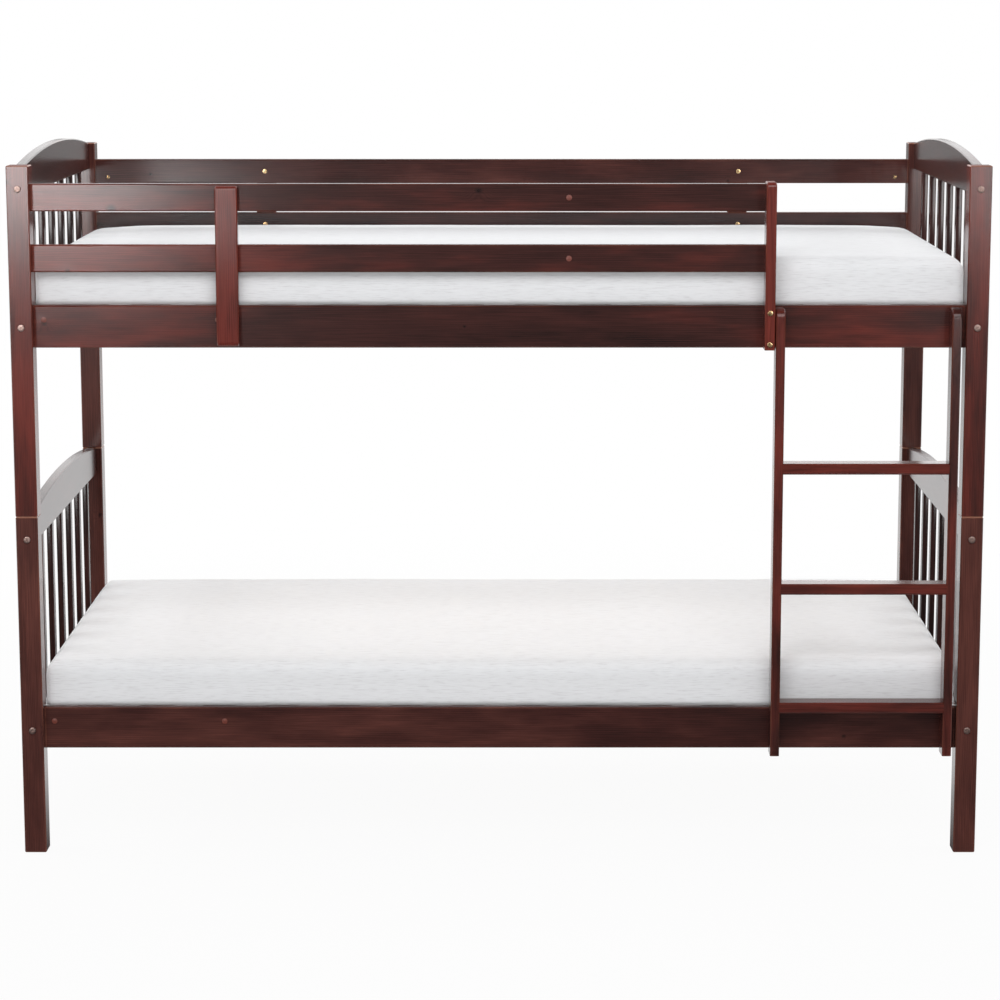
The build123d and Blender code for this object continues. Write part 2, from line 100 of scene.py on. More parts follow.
stainedPine = dict(
    ringMm=4.4,             # growth ring spacing
    heartMm=(120, 260),     # how far off the heart of the log lies, across the board's width
    skewMm=(15, 60),        # and off its wide face
    wanderMm=(600, 150),    # length and width of the grain's wander
    wanderBy=28,            # and its whole span in millimetres
    fibreMm=(95, 2.0),      # length and width of a streak, drawn twice as wide as real so that it shows
    patchMm=(190, 48),      # stain patches, along and across the board
    cloudMm=(850, 260),     # slow change of tone
    knotCellMm=270,         # one knot in each cell of this size
    knotCellAlong=0.75,     # the cells are longer along the board
    knotMm=6.5,             # radius
    knotShrink=(0.7, 2.2),  # from the largest knots to the smallest
    knotEdge=(1.5, 0.2),    # the knot darkens from here to here, in knot radii
    knotDepth=0.75,
    bendReach=5,            # how far from a knot the rings bend, in knot radii
    bendBy=2.4,             # and how much
    dark="#2a1614",
    mid="#45221e",
    warm="#663830",
    red="#742e25",          # where the stain took redder
    knot="#170b0a",
    # paler arrises: rubbed stain, with a painted edge highlight
    rubbedAndHighlit="#8a5746",
    bare="#c08a72",         # end arrises: where the stain is worn through, with a painted highlight where the posts' split catches the light
    toneAt=(0.34, 0.52, 0.7),   # stain tones at which it is dark, mid, and warm or red
    ringDepth=0.4,
    ringFaded=0.35,         # share of that depth that is left in the palest patches
    ringFadeAt=(0.36, 0.62),    # patch tones between which the rings fade
    fibreDepth=0.3,
    patchDepth=0.38,        # how much the patches change the stain
    thinStainAndHighlightBy=0.22,            # how much lighter the ends of a few boards are: thinner stain, with a painted highlight where the softboxes shine in the lacquer
    thinStainAndHighlightAt=(0.1, 0.9),      # and where that starts and stops, in half lengths from the middle
    rubAndHighlightMm=3.0,              # width of a paler arris: rubbed stain, with a painted edge highlight
    rubAndHighlightShare=(0.08, 0.5),   # how much of the arris is paler, in dark and in pale patches
    rubAndHighlightAt=(0.4, 0.7),       # patch tones between which that changes
    endBareAndHighlit=0.55,           # how pale the posts' end arrises are: bare wood, with a painted highlight
    reliefMm=0.12,          # height of the grain under the lacquer
    reliefStrength=0.22,
    fibreRelief=0.5,        # share of the fibres in it, beside the rings
    roughness=0.48,
    roughnessSpan=(0.07, -0.05),    # from fibre to fibre
    bareGloss=0.04,         # the wood itself hardly shines under the lacquer
    coat=1.0,
    edgeCoat=0.75,
    endCoat=0.15,
    coatRoughness=0.17,     # satin lacquer
    squareUpTo=1.3,         # a section less oblong than this has no sawn edges, only faces
    facingAt=(0.5, 0.9),    # how squarely an edge or end faces before its thinner lacquer counts
)

barePine = dict(
    stainedPine,
    dark="#b98a56",
    mid="#d2ab78",
    warm="#dfc090",
    red="#dfc090",
    knot="#6e4526",
    rubbedAndHighlit="#e2c79d",
    bare="#e2c79d",
    ringDepth=0.3,
    fibreDepth=0.16,
    roughness=0.62,
    bareGloss=0.35,
    coat=0.0,
)

# the axis that the grain runs along, by the end of the board's name
grainAxis = dict(post=2, arch=1, end_rail=1, spindles=2, rail=0, cleat=0, slats=1, board=0, upright=2, side=2)
grainAxis.update(step_1=0, step_2=0, step_3=0, dowels=0)
stainLift = dict(           # lighter or darker than the rest, by words in the board's name
    guard=-0.02,
    upright=0.2,
    ladder=0.07,
    back=0.03,
    step=0.04,
    spindles=-0.08,
    post=0.11,
    upper_front_rail=-0.14,
    lower_front_rail=0.08,
)
redStained = ("front_guard", "ladder", "upper_front")
# boards lighter towards one end or both: thinner stain there, with a painted highlight where the softboxes
# shine in the lacquer
thinStainAndHighlight = dict(front_guard_upper_board="left", front_guard_lower_board="left", upper_front_rail="both")


def grainNoise(tree, place, sizeMm, detail):
    # noise drawn out along the board
    alongMm, acrossMm = sizeMm
    stretch = addNode(tree, "ShaderNodeVectorMath", {
        0: place,
        1: (perMm(alongMm), perMm(acrossMm), perMm(acrossMm)),
    }, operation="MULTIPLY")
    return addNode(tree, "ShaderNodeTexNoise", {"Vector": stretch.outputs[0], "Scale": 1.0, "Detail": detail})


def pineBoard(node, wood, finish):
    # the pattern is the log's: rings round a heart line that runs along the board, bent round the knots
    low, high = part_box(node)
    centre, half = (low + high) / 2, (high - low) / 2
    along = next(axis for word, axis in grainAxis.items() if node.endswith(word))
    across = [axis for axis in range(3) if axis != along]
    wide = max(across, key=lambda axis: half[axis])
    thin = min(across, key=lambda axis: half[axis])
    draw = random.Random(node)
    lift = sum(change for word, change in stainLift.items() if word in node) + draw.uniform(-0.05, 0.05)

    material, tree, shader = newMaterial(f"{finish}_{node}")
    coords = addNode(tree, "ShaderNodeTexCoord")
    local = addNode(tree, "ShaderNodeVectorMath", {
        0: coords.outputs["Object"],
        1: centre,
    }, operation="SUBTRACT")
    place = addNode(tree, "ShaderNodeSeparateXYZ", {0: local.outputs[0]})
    boardCut = addNode(tree, "ShaderNodeCombineXYZ", {
        0: place.outputs[along],
        1: place.outputs[wide],
        2: place.outputs[thin],
    })
    logCut = addNode(tree, "ShaderNodeVectorMath", {
        0: boardCut.outputs[0],
        1: [draw.uniform(-20, 20) for axis in range(3)],
    }, operation="ADD").outputs[0]

    wander = grainNoise(tree, logCut, wood["wanderMm"], 2.0)
    wanderStep = addNode(tree, "ShaderNodeVectorMath", {
        0: wander.outputs["Color"],
        1: (0.5, 0.5, 0.5),
    }, operation="SUBTRACT")
    wandered = addNode(tree, "ShaderNodeVectorMath", {
        0: wanderStep.outputs[0],
        1: (0, wood["wanderBy"] * mm, wood["wanderBy"] * mm),
        2: boardCut.outputs[0],
    }, operation="MULTIPLY_ADD")

    # knots: one in each cell of a flat grid over the board's wide face
    knotPlace = addNode(tree, "ShaderNodeVectorMath", {
        0: logCut,
        1: (wood["knotCellAlong"], 1, 1),
    }, operation="MULTIPLY")
    knotCells = addNode(tree, "ShaderNodeTexVoronoi", {
        "Vector": knotPlace.outputs[0],
        "Scale": perMm(wood["knotCellMm"]),
        "Randomness": 1.0,
    }, voronoi_dimensions="2D", feature="F1")
    knotKind = addNode(tree, "ShaderNodeSeparateColor", {0: knotCells.outputs["Color"]})
    knotScale = addNode(tree, "ShaderNodeMapRange", {
        "Value": knotKind.outputs[0],
        "To Min": wood["knotShrink"][0],
        "To Max": wood["knotShrink"][1],
    })
    knotAway = addNode(tree, "ShaderNodeMath", {
        0: knotCells.outputs["Distance"],
        1: knotScale.outputs[0],
    }, operation="MULTIPLY")
    knotReach = wood["knotMm"] / wood["knotCellMm"]
    knotCore = addNode(tree, "ShaderNodeMapRange", {
        "Value": knotAway.outputs[0],
        "From Min": knotReach * wood["knotEdge"][0],
        "From Max": knotReach * wood["knotEdge"][1],
        "To Max": wood["knotDepth"],
    }, interpolation_type="SMOOTHSTEP")
    knotPull = addNode(tree, "ShaderNodeMapRange", {
        "Value": knotAway.outputs[0],
        "From Min": knotReach * wood["bendReach"],
        "From Max": 0.0,
        "To Max": wood["bendBy"] * wood["knotMm"] * mm,
    }, interpolation_type="SMOOTHERSTEP")

    heart = (
        0,
        draw.choice((-1, 1)) * draw.uniform(*wood["heartMm"]) * mm,
        draw.choice((-1, 1)) * draw.uniform(*wood["skewMm"]) * mm,
    )
    fromHeart = addNode(tree, "ShaderNodeVectorMath", {
        0: wandered.outputs[0],
        1: heart,
    }, operation="SUBTRACT")
    section = addNode(tree, "ShaderNodeVectorMath", {
        0: fromHeart.outputs[0],
        1: (0, 1, 1),
    }, operation="MULTIPLY")
    radius = addNode(tree, "ShaderNodeVectorMath", {0: section.outputs[0]}, operation="LENGTH")
    bentRadius = addNode(tree, "ShaderNodeMath", {
        0: radius.outputs["Value"],
        1: knotPull.outputs[0],
    }, operation="ADD")
    ringCount = addNode(tree, "ShaderNodeMath", {
        0: bentRadius.outputs[0],
        1: perMm(wood["ringMm"]),
    }, operation="MULTIPLY")
    ringPart = addNode(tree, "ShaderNodeMath", {0: ringCount.outputs[0]}, operation="FRACT")
    # each ring darkens slowly outwards and ends at a sharp edge
    lateWood = addNode(tree, "ShaderNodeValToRGB", {0: ringPart.outputs[0]}, stops=[
        (0.0, (0.1, 0.1, 0.1, 1)),
        (0.45, (0.0, 0.0, 0.0, 1)),
        (0.88, (1.0, 1.0, 1.0, 1)),
        (1.0, (0.1, 0.1, 0.1, 1)),
    ])

    fibre = grainNoise(tree, logCut, wood["fibreMm"], 3.0)
    patch = grainNoise(tree, logCut, wood["patchMm"], 4.0)
    cloud = grainNoise(tree, logCut, wood["cloudMm"], 1.0)
    tone = addNode(tree, "ShaderNodeMath", {
        0: patch.outputs["Fac"],
        1: cloud.outputs["Fac"],
    }, operation="ADD")
    lifted = addNode(tree, "ShaderNodeMath", {
        0: tone.outputs[0],
        1: wood["patchDepth"],
        2: lift + 0.5 - wood["patchDepth"],
    }, operation="MULTIPLY_ADD")
    # the ends of a few boards turn lighter and redder: thinner stain, and a painted highlight where the
    # softboxes shine in their lacquer
    toEnd = addNode(tree, "ShaderNodeMath", {
        0: place.outputs[along],
        1: -1.0,
    }, operation="ABSOLUTE" if thinStainAndHighlight.get(node) == "both" else "MULTIPLY")
    thinStainAndHighlightTone = addNode(tree, "ShaderNodeMapRange", {
        "Value": toEnd.outputs[0],
        "From Min": wood["thinStainAndHighlightAt"][0] * half[along],
        "From Max": wood["thinStainAndHighlightAt"][1] * half[along],
        "To Max": wood["thinStainAndHighlightBy"] if node in thinStainAndHighlight else 0.0,
    }, interpolation_type="SMOOTHSTEP")
    stainTone = addNode(tree, "ShaderNodeMath", {
        0: lifted.outputs[0],
        1: thinStainAndHighlightTone.outputs[0],
    }, operation="ADD")
    stain = addNode(tree, "ShaderNodeValToRGB", {0: stainTone.outputs[0]}, stops=[
        (wood["toneAt"][0], linear(wood["dark"])),
        (wood["toneAt"][1], linear(wood["mid"])),
        (wood["toneAt"][2], linear(wood["red" if any(word in node for word in redStained) else "warm"])),
    ])

    # the rings come and go along the board, as the stain takes more or less
    ringFade = addNode(tree, "ShaderNodeMapRange", {
        "Value": patch.outputs["Fac"],
        "From Min": wood["ringFadeAt"][0],
        "From Max": wood["ringFadeAt"][1],
        "To Min": wood["ringDepth"],
        "To Max": wood["ringFaded"] * wood["ringDepth"],
    })
    ringShade = addNode(tree, "ShaderNodeMath", {
        0: lateWood.outputs[0],
        1: ringFade.outputs[0],
    }, operation="MULTIPLY")
    ringed = addNode(tree, "ShaderNodeMath", {0: 1.0, 1: ringShade.outputs[0]}, operation="SUBTRACT")
    streaked = addNode(tree, "ShaderNodeMapRange", {
        "Value": fibre.outputs["Fac"],
        "From Min": noiseSpan[0],
        "From Max": noiseSpan[1],
        "To Min": 1 - wood["fibreDepth"],
        "To Max": 1 + 0.6 * wood["fibreDepth"],
    })
    shade = addNode(tree, "ShaderNodeMath", {
        0: ringed.outputs[0],
        1: streaked.outputs[0],
    }, operation="MULTIPLY")
    grained = addNode(tree, "ShaderNodeVectorMath", {
        0: stain.outputs[0],
        "Scale": shade.outputs[0],
    }, operation="SCALE")
    knotted = addNode(tree, "ShaderNodeMix", {
        "Factor": knotCore.outputs[0],
        6: grained.outputs[0],
        7: linear(wood["knot"]),
    }, data_type="RGBA")

    # paler arrises, rubbed stain with a painted edge highlight: the nearest edge is the middle one of the
    # three distances to the board's faces
    spread = addNode(tree, "ShaderNodeVectorMath", {0: local.outputs[0]}, operation="ABSOLUTE")
    inside = addNode(tree, "ShaderNodeVectorMath", {0: half, 1: spread.outputs[0]}, operation="SUBTRACT")
    depth = addNode(tree, "ShaderNodeSeparateXYZ", {0: inside.outputs[0]})
    nearer = addNode(tree, "ShaderNodeMath", {0: depth.outputs[0], 1: depth.outputs[1]}, operation="MINIMUM")
    farther = addNode(tree, "ShaderNodeMath", {0: depth.outputs[0], 1: depth.outputs[1]}, operation="MAXIMUM")
    capped = addNode(tree, "ShaderNodeMath", {
        0: farther.outputs[0],
        1: depth.outputs[2],
    }, operation="MINIMUM")
    toEdge = addNode(tree, "ShaderNodeMath", {
        0: nearer.outputs[0],
        1: capped.outputs[0],
    }, operation="MAXIMUM")
    arris = addNode(tree, "ShaderNodeMapRange", {
        "Value": toEdge.outputs[0],
        "From Min": wood["rubAndHighlightMm"] * mm,
        "From Max": 0.5 * wood["rubAndHighlightMm"] * mm,
    }, interpolation_type="SMOOTHSTEP")
    rubAndHighlightShare = addNode(tree, "ShaderNodeMapRange", {
        "Value": patch.outputs["Fac"],
        "From Min": wood["rubAndHighlightAt"][0],
        "From Max": wood["rubAndHighlightAt"][1],
        "To Min": wood["rubAndHighlightShare"][0],
        "To Max": wood["rubAndHighlightShare"][1],
    })
    rubbedAndHighlit = addNode(tree, "ShaderNodeMath", {
        0: arris.outputs[0],
        1: rubAndHighlightShare.outputs[0],
    }, operation="MULTIPLY")
    rubbedAndHighlitWood = addNode(tree, "ShaderNodeMix", {
        "Factor": rubbedAndHighlit.outputs[0],
        6: knotted.outputs[2],
        7: linear(wood["rubbedAndHighlit"]),
    }, data_type="RGBA")
    # the posts' end arrises turn pale: bare wood, and a painted highlight as the chamfers at the posts' split
    # catch the light
    endArris = addNode(tree, "ShaderNodeMapRange", {
        "Value": depth.outputs[along],
        "From Min": 0.8 * wood["rubAndHighlightMm"] * mm,
        "From Max": 0.4 * wood["rubAndHighlightMm"] * mm,
        "To Max": wood["endBareAndHighlit"] if node.endswith("post") else 0.0,
    }, interpolation_type="SMOOTHSTEP")
    ended = addNode(tree, "ShaderNodeMath", {
        0: endArris.outputs[0],
        1: arris.outputs[0],
    }, operation="MULTIPLY")
    bared = addNode(tree, "ShaderNodeMix", {
        "Factor": ended.outputs[0],
        6: rubbedAndHighlitWood.outputs[2],
        7: linear(wood["bare"]),
    }, data_type="RGBA")

    gloss = addNode(tree, "ShaderNodeMapRange", {
        "Value": fibre.outputs["Fac"],
        "From Min": noiseSpan[0],
        "From Max": noiseSpan[1],
        "To Min": wood["roughness"] + wood["roughnessSpan"][0],
        "To Max": wood["roughness"] + wood["roughnessSpan"][1],
    })
    relief = addNode(tree, "ShaderNodeMath", {
        0: fibre.outputs["Fac"],
        1: wood["fibreRelief"],
        2: lateWood.outputs[0],
    }, operation="MULTIPLY_ADD")
    bump = addNode(tree, "ShaderNodeBump", {
        "Strength": wood["reliefStrength"],
        "Distance": wood["reliefMm"] * mm,
        "Height": relief.outputs[0],
    })
    # end grain and sawn edges soak up lacquer, so they shine less
    facing = addNode(tree, "ShaderNodeVectorMath", {0: coords.outputs["Normal"]}, operation="ABSOLUTE")
    facingBy = addNode(tree, "ShaderNodeSeparateXYZ", {0: facing.outputs[0]})
    edgeShare = wood["edgeCoat"] if half[wide] > wood["squareUpTo"] * half[thin] else 1.0
    onEdge = addNode(tree, "ShaderNodeMapRange", {
        "Value": facingBy.outputs[wide],
        "From Min": wood["facingAt"][0],
        "From Max": wood["facingAt"][1],
        "To Min": wood["coat"],
        "To Max": wood["coat"] * edgeShare,
    })
    onEnd = addNode(tree, "ShaderNodeMapRange", {
        "Value": facingBy.outputs[along],
        "From Min": wood["facingAt"][0],
        "From Max": wood["facingAt"][1],
        "To Min": 1.0,
        "To Max": wood["endCoat"],
    })
    lacquer = addNode(tree, "ShaderNodeMath", {
        0: onEdge.outputs[0],
        1: onEnd.outputs[0],
    }, operation="MULTIPLY")
    tree.links.new(bared.outputs[2], shader.inputs["Base Color"])
    tree.links.new(gloss.outputs[0], shader.inputs["Roughness"])
    tree.links.new(bump.outputs[0], shader.inputs["Normal"])
    if wood["coat"]:
        tree.links.new(lacquer.outputs[0], shader.inputs["Coat Weight"])
        tree.links.new(bump.outputs[0], shader.inputs["Coat Normal"])
    shader.inputs["Specular IOR Level"].default_value = wood["bareGloss"]
    shader.inputs["Coat Roughness"].default_value = wood["coatRoughness"]
    return material


# Small materials

plating = dict(cloudGrains=6, roughnessSpan=0.1, gritMm=0.05, gritStrength=0.15)


def plate(name, tones, roughness, grainMm, metallic=1.0):
    # plated or moulded small parts: a cloudy film over fine grit, so that highlights break up
    material, tree, shader = newMaterial(name)
    coords = addNode(tree, "ShaderNodeTexCoord")
    cloud = addNode(tree, "ShaderNodeTexNoise", {
        "Vector": coords.outputs["Object"],
        "Scale": perMm(grainMm * plating["cloudGrains"]),
        "Detail": 4.0,
    })
    grit = addNode(tree, "ShaderNodeTexNoise", {
        "Vector": coords.outputs["Object"],
        "Scale": perMm(grainMm),
        "Detail": 2.0,
    })
    tint = addNode(tree, "ShaderNodeValToRGB", {0: cloud.outputs["Fac"]}, stops=[
        (noiseSpan[0], linear(tones[0])),
        (noiseSpan[1], linear(tones[1])),
    ])
    dull = addNode(tree, "ShaderNodeMapRange", {
        "Value": grit.outputs["Fac"],
        "To Min": roughness - plating["roughnessSpan"],
        "To Max": roughness + plating["roughnessSpan"],
    })
    bump = addNode(tree, "ShaderNodeBump", {
        "Strength": plating["gritStrength"],
        "Distance": plating["gritMm"] * mm,
        "Height": grit.outputs["Fac"],
    })
    tree.links.new(tint.outputs[0], shader.inputs["Base Color"])
    tree.links.new(dull.outputs[0], shader.inputs["Roughness"])
    tree.links.new(bump.outputs[0], shader.inputs["Normal"])
    shader.inputs["Metallic"].default_value = metallic
    return material


jersey = dict(
    slubMm=(30, 2.1),       # length and width of a thick place in the yarn
    slubTones=((0.3, "#e3e3e5"), (0.46, "#f0f1f3"), (0.7, "#f5f6f8")),
    napMm=2.4,
    napShare=0.6,
    reliefMm=0.4,
    reliefStrength=0.22,
    endsFrom=(0.6, 0.8),    # how squarely a face looks along the bed before its yarn runs across
    roughness=0.9,
    gloss=0.25,
    sheen=0.15,
    sheenRoughness=0.5,
)


def slubKnit(name):
    # white jersey knitted from slub yarn: fine level streaks, a soft nap and no shine
    material, tree, shader = newMaterial(name)
    coords = addNode(tree, "ShaderNodeTexCoord")
    facing = addNode(tree, "ShaderNodeSeparateXYZ", {0: coords.outputs["Normal"]})
    endOn = addNode(tree, "ShaderNodeMath", {0: facing.outputs[0]}, operation="ABSOLUTE")
    onEnd = addNode(tree, "ShaderNodeMapRange", {
        "Value": endOn.outputs[0],
        "From Min": jersey["endsFrom"][0],
        "From Max": jersey["endsFrom"][1],
    })
    coarse, fine = [perMm(size) for size in jersey["slubMm"]]
    sideways = addNode(tree, "ShaderNodeVectorMath", {
        0: coords.outputs["Object"],
        1: (coarse, fine, fine),
    }, operation="MULTIPLY")
    endways = addNode(tree, "ShaderNodeVectorMath", {
        0: coords.outputs["Object"],
        1: (fine, coarse, fine),
    }, operation="MULTIPLY")
    yarnWay = addNode(tree, "ShaderNodeMix", {
        "Factor": onEnd.outputs[0],
        4: sideways.outputs[0],
        5: endways.outputs[0],
    }, data_type="VECTOR")
    slub = addNode(tree, "ShaderNodeTexNoise", {
        "Vector": yarnWay.outputs[1],
        "Scale": 1.0,
        "Detail": 3.0,
        "Roughness": 0.6,
    })
    nap = addNode(tree, "ShaderNodeTexNoise", {
        "Vector": coords.outputs["Object"],
        "Scale": perMm(jersey["napMm"]),
        "Detail": 2.0,
    })
    tint = addNode(tree, "ShaderNodeValToRGB", {0: slub.outputs["Fac"]}, stops=[
        (place, linear(tone)) for place, tone in jersey["slubTones"]
    ])
    height = addNode(tree, "ShaderNodeMath", {
        0: nap.outputs["Fac"],
        1: jersey["napShare"],
        2: slub.outputs["Fac"],
    }, operation="MULTIPLY_ADD")
    bump = addNode(tree, "ShaderNodeBump", {
        "Strength": jersey["reliefStrength"],
        "Distance": jersey["reliefMm"] * mm,
        "Height": height.outputs[0],
    })
    tree.links.new(tint.outputs[0], shader.inputs["Base Color"])
    tree.links.new(bump.outputs[0], shader.inputs["Normal"])
    shader.inputs["Roughness"].default_value = jersey["roughness"]
    shader.inputs["Sheen Weight"].default_value = jersey["sheen"]
    shader.inputs["Sheen Roughness"].default_value = jersey["sheenRoughness"]
    shader.inputs["Specular IOR Level"].default_value = jersey["gloss"]
    return material


tape = dict(
    threadMm=2.4,           # twice the real spacing, so that the threads show
    waveScale=0.314,        # a wave texture of this scale has one band to the metre
    uneven=0.6,
    # painted shade between the threads
    gap="#b5b0a4",
    thread="#dad6cb",
    threadAt=0.6,
    reliefMm=0.3,
    reliefStrength=0.4,
    roughness=0.85,
)


def wovenTape(name):
    # cotton webbing: warp and weft threads that cross, with painted shade between them
    material, tree, shader = newMaterial(name)
    coords = addNode(tree, "ShaderNodeTexCoord")
    warp, weft = [addNode(tree, "ShaderNodeTexWave", {
        "Vector": coords.outputs["Object"],
        "Scale": perMm(tape["threadMm"]) * tape["waveScale"],
        "Distortion": tape["uneven"],
    }, bands_direction=way) for way in "XY"]
    weave = addNode(tree, "ShaderNodeMath", {
        0: warp.outputs["Fac"],
        1: weft.outputs["Fac"],
    }, operation="MULTIPLY")
    # between the threads the tone is painted shade
    tint = addNode(tree, "ShaderNodeValToRGB", {0: weave.outputs[0]}, stops=[
        (0.0, linear(tape["gap"])),
        (tape["threadAt"], linear(tape["thread"])),
    ])
    bump = addNode(tree, "ShaderNodeBump", {
        "Strength": tape["reliefStrength"],
        "Distance": tape["reliefMm"] * mm,
        "Height": weave.outputs[0],
    })
    tree.links.new(tint.outputs[0], shader.inputs["Base Color"])
    tree.links.new(bump.outputs[0], shader.inputs["Normal"])
    shader.inputs["Roughness"].default_value = tape["roughness"]
    return material


agedBronze = plate("bronzePlatedSteel", ("#76615a", "#ae958d"), 0.42, 0.5)
brassPlate = plate("brassPlatedSteel", ("#b28d5e", "#e3c79b"), 0.25, 0.5)
zincPlate = plate("zincPlatedSteel", ("#9a9da1", "#c3c6ca"), 0.34, 0.5)
mouldedPlug = plate("mouldedPlasticPlug", ("#6c2d20", "#843c2a"), 0.42, 0.4, metallic=0.0)
knitCover = slubKnit("slubJerseyKnit")
webbing = wovenTape("cottonWebbing")
slotFinish = dict(
    bronzed_steel=agedBronze,
    brass=brassPlate,
    zinced_steel=zincPlate,
    plug_plastic=mouldedPlug,
    mattress_knit=knitCover,
    webbing=webbing,
)


def finishOf(node):
    if slotOf[node] in slotFinish:
        return slotFinish[slotOf[node]]
    if slotOf[node] == "stained_pine":
        return pineBoard(node, stainedPine, "stainedPine")
    return pineBoard(node, barePine, "barePine")


def paint(piece, material):
    piece.data.materials.clear()
    piece.data.materials.append(material)


for node in nodes:
    paint(nodes[node], finishOf(node))
print("finishes:", len(bpy.data.materials))


# Helpers for modelling

def pickUp(*pieces):
    bpy.ops.object.select_all(action="DESELECT")
    for piece in pieces:
        piece.select_set(True)
    bpy.context.view_layer.objects.active = pieces[0]


def keepPiece(piece, name, node):
    piece.name = name
    paint(piece, nodes[node].data.materials[0])
    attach(piece, bodyOf[node])
    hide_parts(node)


def copyOf(node):
    piece = bpy.data.objects.new(node + "_copy", nodes[node].data.copy())
    bpy.context.scene.collection.objects.link(piece)
    pickUp(piece)
    bpy.ops.mesh.customdata_custom_splitnormals_clear()
    bpy.ops.object.mode_set(mode="EDIT")
    bpy.ops.mesh.select_all(action="SELECT")
    bpy.ops.mesh.remove_doubles(threshold=near)
    bpy.ops.object.mode_set(mode="OBJECT")
    return piece


def addModifier(piece, kind, **settings):
    modifier = piece.modifiers.new(kind.lower(), kind)
    for name, value in settings.items():
        setattr(modifier, name, value)
    return modifier


def applyModifier(piece, kind, **settings):
    modifier = addModifier(piece, kind, **settings)
    pickUp(piece)
    bpy.ops.object.modifier_apply(modifier=modifier.name)


# Boards with rounded corners or sawn arrises: the same board, with its curves shaded smooth

easedBoards = dict(spindles=1.6, slats=2.0, arch=0, upright=0, side=0)   # arris radius in millimetres
easing = dict(segments=3, flatUnder=math.radians(1), smoothUnder=math.radians(28))


def easeBoard(node, easeMm):
    piece = copyOf(node)
    if easeMm:
        bpy.ops.object.mode_set(mode="EDIT")
        bpy.ops.mesh.dissolve_limited(angle_limit=easing["flatUnder"])
        bpy.ops.object.mode_set(mode="OBJECT")
        applyModifier(piece, "BEVEL", width=easeMm * mm, segments=easing["segments"], limit_method="ANGLE")
    pickUp(piece)
    bpy.ops.object.shade_smooth_by_angle(angle=easing["smoothUnder"])
    keepPiece(piece, node + "_eased", node)


for node in list(nodes):
    for word, easeMm in easedBoards.items():
        if node.endswith(word):
            easeBoard(node, easeMm)
print("boards eased")


# Fasteners: each kind is modelled once, its outer end at the origin and its inner end a metre down the -Z axis
# A copy is set wherever the frame has one and pushed in to its length

rimSegments = 3
fastenerSmoothUnder = math.radians(35)


def solidsOf(node):
    shell = bmesh.new()
    shell.from_mesh(nodes[node].data)
    bmesh.ops.remove_doubles(shell, verts=shell.verts, dist=near)
    left = set(shell.verts)
    found = []
    for first in shell.verts:
        if first not in left:
            continue
        left.remove(first)
        reached = [first]
        for vert in reached:
            for edge in vert.link_edges:
                other = edge.other_vert(vert)
                if other in left:
                    left.remove(other)
                    reached.append(other)
        found.append([vert.co.copy() for vert in reached])
    shell.free()
    return found


def wideEnd(points, low, high):
    # a bolt's head is the end with the wider section
    axis = max(range(3), key=lambda a: high[a] - low[a])
    middle = (low + high) / 2
    reach = {-1: 0.0, 1: 0.0}
    for point in points:
        offAxis = point - middle
        end = 1 if offAxis[axis] > 0 else -1
        offAxis[axis] = 0
        reach[end] = max(reach[end], offAxis.length)
    outward = Vector()
    outward[axis] = 1 if reach[1] > reach[-1] else -1
    return outward


def outOfBed(points, low, high):
    return Vector((0, math.copysign(1, low.y + high.y), 0))


def nutFace(points, low, high):
    # the rails' nuts went in from outside, the guard boards' from inside
    inGuard = low.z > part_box("upper_front_rail")[1].z
    return outOfBed(points, low, high) * (-1 if inGuard else 1)


def upwards(points, low, high):
    return Vector((0, 0, 1))


def endways(points, low, high):
    return Vector((math.copysign(1, low.x + high.x), 0, 0))


def selectWhere(piece, mode, test):
    pickUp(piece)
    bpy.ops.object.mode_set(mode="EDIT")
    bpy.ops.mesh.select_mode(type=mode)
    bpy.ops.mesh.select_all(action="DESELECT")
    shell = bmesh.from_edit_mesh(piece.data)
    for part in dict(EDGE=shell.edges, FACE=shell.faces)[mode]:
        if all(test(vert.co) for vert in part.verts):
            part.select_set(True)
    bmesh.update_edit_mesh(piece.data)


def rod(radiusMm, sides, top=0.0, foot=-1.0):
    bpy.ops.object.select_all(action="DESELECT")
    bpy.ops.mesh.primitive_cylinder_add(
        vertices=sides,
        radius=radiusMm * mm,
        depth=top - foot,
        location=(0, 0, (top + foot) / 2),
    )
    bpy.ops.object.transform_apply(location=True)
    return bpy.context.object


def roundRim(piece, rimMm, atFoot=False):
    selectWhere(piece, "EDGE", lambda spot: abs(spot.z + (1 if atFoot else 0)) < near)
    bpy.ops.mesh.bevel(offset=rimMm * mm, segments=rimSegments)
    bpy.ops.object.mode_set(mode="OBJECT")


def cutWith(piece, cutter):
    applyModifier(piece, "BOOLEAN", operation="DIFFERENCE", object=cutter, solver="EXACT")
    bpy.data.objects.remove(cutter)


def joined(*parts):
    pickUp(*parts)
    bpy.ops.object.join()
    return parts[0]


def modelBolt(size):
    # a flat round head with a rolled rim and a hexagon socket, over a plain shank
    head = rod(size["headMm"] / 2, size["sides"], foot=-size["riseMm"] * mm)
    roundRim(head, size["rimMm"])
    cutWith(head, rod(size["hexMm"] / math.sqrt(3), 6, size["socketMm"] * mm, -size["socketMm"] * mm))
    return joined(head, rod(size["shankMm"] / 2, size["shankSides"], top=-size["riseMm"] * mm))


def modelPlug(size):
    # a push-in cap, flush at the rim and a little domed
    plug = rod(size["acrossMm"] / 2, size["sides"])
    roundRim(plug, size["rimMm"])
    selectWhere(plug, "FACE", lambda spot: spot.z > -near)
    for step in range(size["rings"]):
        bpy.ops.mesh.inset(thickness=size["acrossMm"] / 2 * mm / (size["rings"] + size["middleRings"]))
        bpy.ops.transform.translate(value=(0, 0, size["domeMm"] * mm / size["rings"]))
    bpy.ops.object.mode_set(mode="OBJECT")
    return plug


